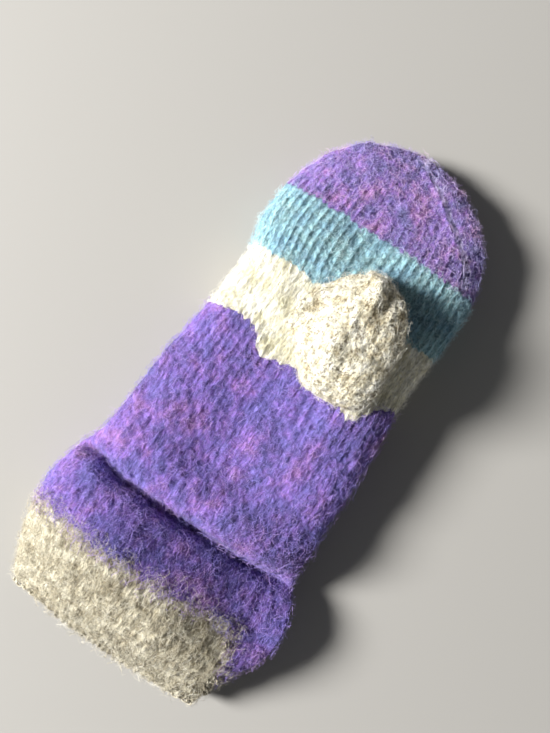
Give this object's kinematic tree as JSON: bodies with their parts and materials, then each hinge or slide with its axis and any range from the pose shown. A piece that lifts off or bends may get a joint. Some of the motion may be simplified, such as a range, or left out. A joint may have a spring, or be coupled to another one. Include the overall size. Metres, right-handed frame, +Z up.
{
  "type": "knitted mitten",
  "caption": "Right-hand wool mitten, knitted in the round in striped yarns and fulled to thick felt, lying palm up with its thumb folded over the palm and its cuff puffed out.",
  "frame": {"origin": "middle of the mitten's underside, on the surface it lies on", "axes": "+Y from the cuff to the fingertips, +X to the wearer's thumb side, +Z up out of the palm"},
  "size_m": [0.1393, 0.29, 0.0485],
  "materials": {
    "wool_oatmeal": "oatmeal heather wool, knitted and fulled to a rice-grain felt",
    "wool_purple": "blue-violet heather wool, knitted and fulled",
    "wool_cream": "undyed cream wool, knitted stitches still showing",
    "wool_teal": "dusty teal heather wool, knitted stitches still showing",
    "wool_violet": "red-violet heather wool, knitted and fulled",
    "wool_flecked": "cream wool flecked with grey-brown, knitted and fulled"
  },
  "bodies": {
    "hand": {"palm_purple": "wool_purple", "hand_stripe_cream": "wool_cream", "hand_stripe_teal": "wool_teal", "end_purple_finish": "wool_purple", "end_cream_start": "wool_cream", "end_cream_finish": "wool_cream", "end_teal_start": "wool_teal", "end_teal_finish": "wool_teal"},
    "cuff": {"cast_on_edge": "wool_oatmeal", "cuff_band_oatmeal": "wool_oatmeal", "cuff_roll_purple": "wool_purple", "end_oatmeal_cast_on": "wool_oatmeal", "end_oatmeal_finish": "wool_oatmeal", "end_purple_start": "wool_purple"},
    "fingertips": {"fingertip_purple": "wool_violet", "fingertip_closure": "wool_violet", "end_tip_start": "wool_violet", "end_tip_closing": "wool_violet"},
    "thumb": {"thumb_pickup_round": "wool_flecked", "thumb_tube": "wool_flecked", "thumb_closure": "wool_flecked", "end_thumb_start": "wool_flecked", "end_thumb_closing": "wool_flecked"}
  },
  "joints": [
    {"name": "wrist_fold", "type": "hinge", "parent": "hand", "child": "cuff", "pos_m": [0, -0.076, 0.0232], "axis": [-1, 0, 0], "range_deg": [0, 75]},
    {"name": "fingertip_fold", "type": "hinge", "parent": "hand", "child": "fingertips", "pos_m": [0, 0.091, 0.0262], "axis": [1, 0, 0], "range_deg": [0, 75]},
    {"name": "thumb_lift", "type": "hinge", "parent": "hand", "child": "thumb", "pos_m": [0.018, 0.0345, 0.0298], "axis": [1, 0, 0], "range_deg": [0, 90]}
  ]
}
